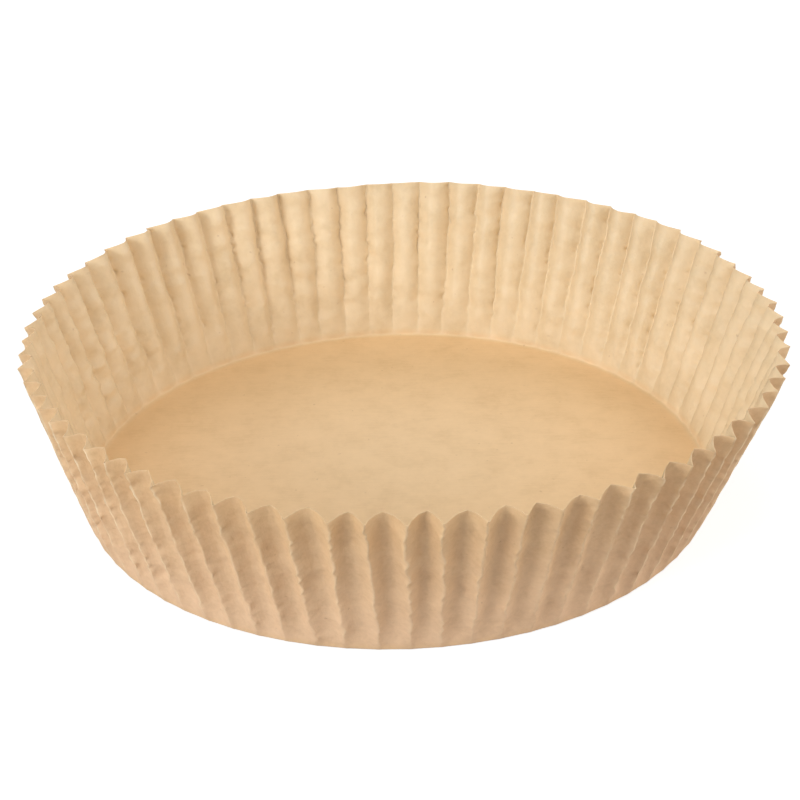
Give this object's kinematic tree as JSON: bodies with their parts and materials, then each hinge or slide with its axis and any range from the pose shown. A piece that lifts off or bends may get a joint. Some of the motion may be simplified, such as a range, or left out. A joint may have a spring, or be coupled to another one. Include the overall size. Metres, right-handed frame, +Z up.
{
  "type": "air fryer paper liner",
  "caption": "Shallow round cup of greaseproof paper with a flat floor and a flared pleated wall; it lines an air fryer basket and catches grease and crumbs.",
  "frame": {"origin": "middle of the underside of the floor, on the surface that the liner stands on", "axes": "+Z up out of the open rim, along the axis of the cup; -Y towards the camera of the picture and +X to its right"},
  "size_m": [0.2, 0.2, 0.0451],
  "materials": {
    "greaseproof_paper": "matte unbleached greaseproof paper, faintly mottled"
  },
  "bodies": {
    "root": {"paper_liner": "greaseproof_paper"}
  },
  "joints": []
}
